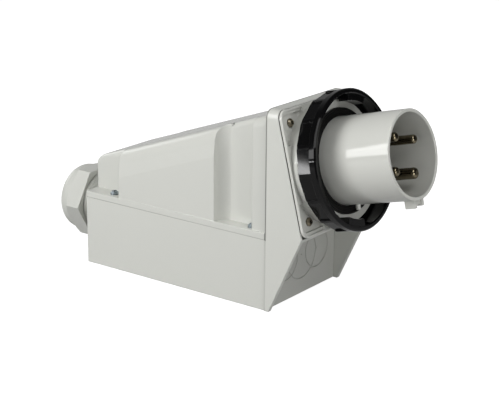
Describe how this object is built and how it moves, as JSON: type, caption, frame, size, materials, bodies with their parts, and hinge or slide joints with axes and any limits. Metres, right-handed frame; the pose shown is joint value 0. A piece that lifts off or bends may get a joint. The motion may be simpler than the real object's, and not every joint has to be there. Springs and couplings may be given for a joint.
{
  "type": "industrial wall inlet",
  "caption": "Grey wall-mounted appliance inlet with a sloping hood, a shrouded set of contact pins, a black bayonet locking ring and a cable gland at the rear.",
  "frame": {"origin": "centre of the four wall-fixing holes, on the back face of the housing", "axes": "+X along the housing towards the inlet, +Z out of the wall, +Y to the left as seen from above with +X up"},
  "size_m": [0.3903, 0.123, 0.1937],
  "materials": {
    "housing": "satin moulded",
    "ring": "glossy moulded",
    "carrier": "satin moulded",
    "rubber": "matt",
    "screw_zinc": "blue zinc plate",
    "screw_brass": "nickel-washed brass",
    "contact": "nickel plate"
  },
  "bodies": {
    "root": {"base_housing": "housing", "cover": "housing", "cover_gasket": "rubber", "cover_screws": "screw_zinc", "inlet_body": "housing", "flange_gasket": "rubber", "flange_screws": "screw_brass", "root_seal": "rubber", "contact_carrier": "carrier", "carrier_screws": "screw_zinc", "phase_pin_1": "contact", "phase_pin_2": "contact", "phase_pin_3": "contact", "earth_pin": "contact", "terminal_screws": "screw_zinc", "terminal_cover": "carrier", "terminal_cover_screw": "screw_zinc", "gland_body": "housing", "gland_washer": "rubber", "gland_locknut": "housing", "gland_seal": "rubber"},
    "locking_ring": {"bayonet_ring": "ring"},
    "clamp_ring": {"gland_clamp_ring": "carrier"},
    "clamp_nut": {"gland_nut": "housing"}
  },
  "joints": [
    {"name": "ring_turn", "type": "hinge", "parent": "root", "child": "locking_ring", "pos_m": [0.12634, 0, 0.1264], "axis": [0.9694, 0, 0.2453], "range_deg": [-45, 0]},
    {"name": "clamp_slide", "type": "slide", "parent": "root", "child": "clamp_ring", "axis": [1, 0, 0], "range_m": [0, 0.006]},
    {"name": "nut_turn", "type": "hinge", "parent": "clamp_ring", "child": "clamp_nut", "pos_m": [-0.1065, 0, 0.0425], "axis": [1, 0, 0], "range_deg": [0, 1080]}
  ],
  "couplings": [
    {"joint": "clamp_slide", "follows": "nut_turn", "m_per_rad": 0.00031831}
  ]
}
